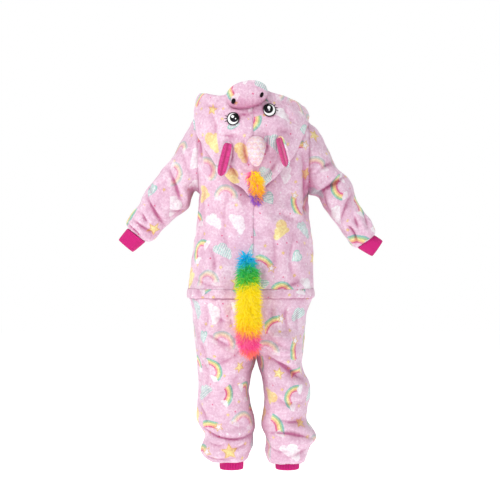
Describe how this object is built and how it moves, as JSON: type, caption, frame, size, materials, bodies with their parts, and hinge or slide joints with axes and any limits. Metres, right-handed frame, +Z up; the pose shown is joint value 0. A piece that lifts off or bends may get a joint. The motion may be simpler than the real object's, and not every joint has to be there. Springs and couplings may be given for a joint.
{
  "type": "animal onesie",
  "caption": "Child's plush one-piece with a front zip, thrown-back unicorn hood with floppy ears and horn, rib cuffs, drop-seat band and rainbow fur tail.",
  "frame": {"origin": "middle of the neck opening, on the line of the shoulders", "axes": "+Z up the wearer, +Y the way the wearer faces, +X the wearer's right"},
  "size_m": [0.6936, 0.3462, 0.9793],
  "materials": {
    "print_fleece": "printed brushed fleece",
    "hot_pink_rib": "ribbed knit",
    "hot_pink_plush": "short plush",
    "black_embroidery": "dense satin-stitch embroidery",
    "eye_embroidery": "dense satin-stitch embroidery in black and white",
    "orange_fur": "long-pile fur fabric",
    "yellow_fur": "long-pile fur fabric in rainbow bands",
    "zip_tape": "moulded plastic chain",
    "zip_metal": "plated die-cast"
  },
  "bodies": {
    "garment": {"ankle_cuff_left": "hot_pink_rib", "ankle_cuff_right": "hot_pink_rib", "back_left": "print_fleece", "back_right": "print_fleece", "drop_seat_band": "print_fleece", "ear_left": "print_fleece", "ear_lining_left": "hot_pink_plush", "ear_lining_right": "hot_pink_plush", "ear_right": "print_fleece", "eye_left": "eye_embroidery", "eye_right": "eye_embroidery", "front_left": "print_fleece", "front_right": "print_fleece", "hood_left": "print_fleece", "hood_right": "print_fleece", "horn": "print_fleece", "mane": "orange_fur", "muzzle": "print_fleece", "nostril_left": "black_embroidery", "nostril_right": "black_embroidery", "sleeve_left": "print_fleece", "sleeve_right": "print_fleece", "tail": "yellow_fur", "trouser_back_left": "print_fleece", "trouser_back_right": "print_fleece", "trouser_front_left": "print_fleece", "trouser_front_right": "print_fleece", "wrist_cuff_left": "hot_pink_rib", "wrist_cuff_right": "hot_pink_rib", "zip_chain": "zip_tape", "zip_slider": "zip_metal"},
    "pull": {"zip_pull": "zip_metal"}
  },
  "joints": [
    {"name": "pull_swing", "type": "hinge", "parent": "garment", "child": "pull", "pos_m": [0.00083, 0.0644, -0.04478], "axis": [1, 0, 0], "range_deg": [0, 150]}
  ]
}
